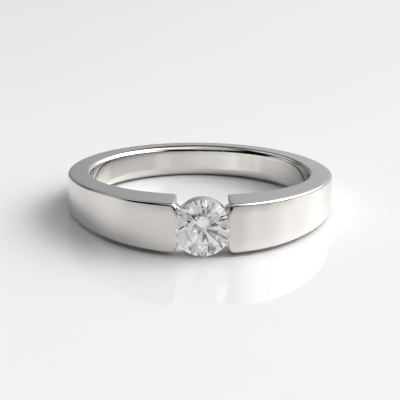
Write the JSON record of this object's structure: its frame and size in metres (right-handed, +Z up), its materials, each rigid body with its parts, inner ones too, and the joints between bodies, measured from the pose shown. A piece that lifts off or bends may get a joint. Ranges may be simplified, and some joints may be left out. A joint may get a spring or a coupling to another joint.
{
  "type": "half bezel set finger ring",
  "caption": "Polished tapered finger ring lying on its side, its flat-ended shoulders gripping a round brilliant cut stone over a round cup.",
  "frame": {"origin": "centre of the footprint on the surface that the ring lies on", "axes": "+Z up; the stone faces -Y; the finger axis leans 2.33 degrees from +Z towards +Y, because the rim of the stone reaches lower than the band and lifts the front"},
  "size_m": [0.021, 0.023, 0.0043],
  "materials": {
    "metal": "mirror polished white gold",
    "stone": "clear cut stone with sharp polished facets"
  },
  "bodies": {
    "root": {"band": "metal", "stone": "stone"}
  },
  "joints": []
}
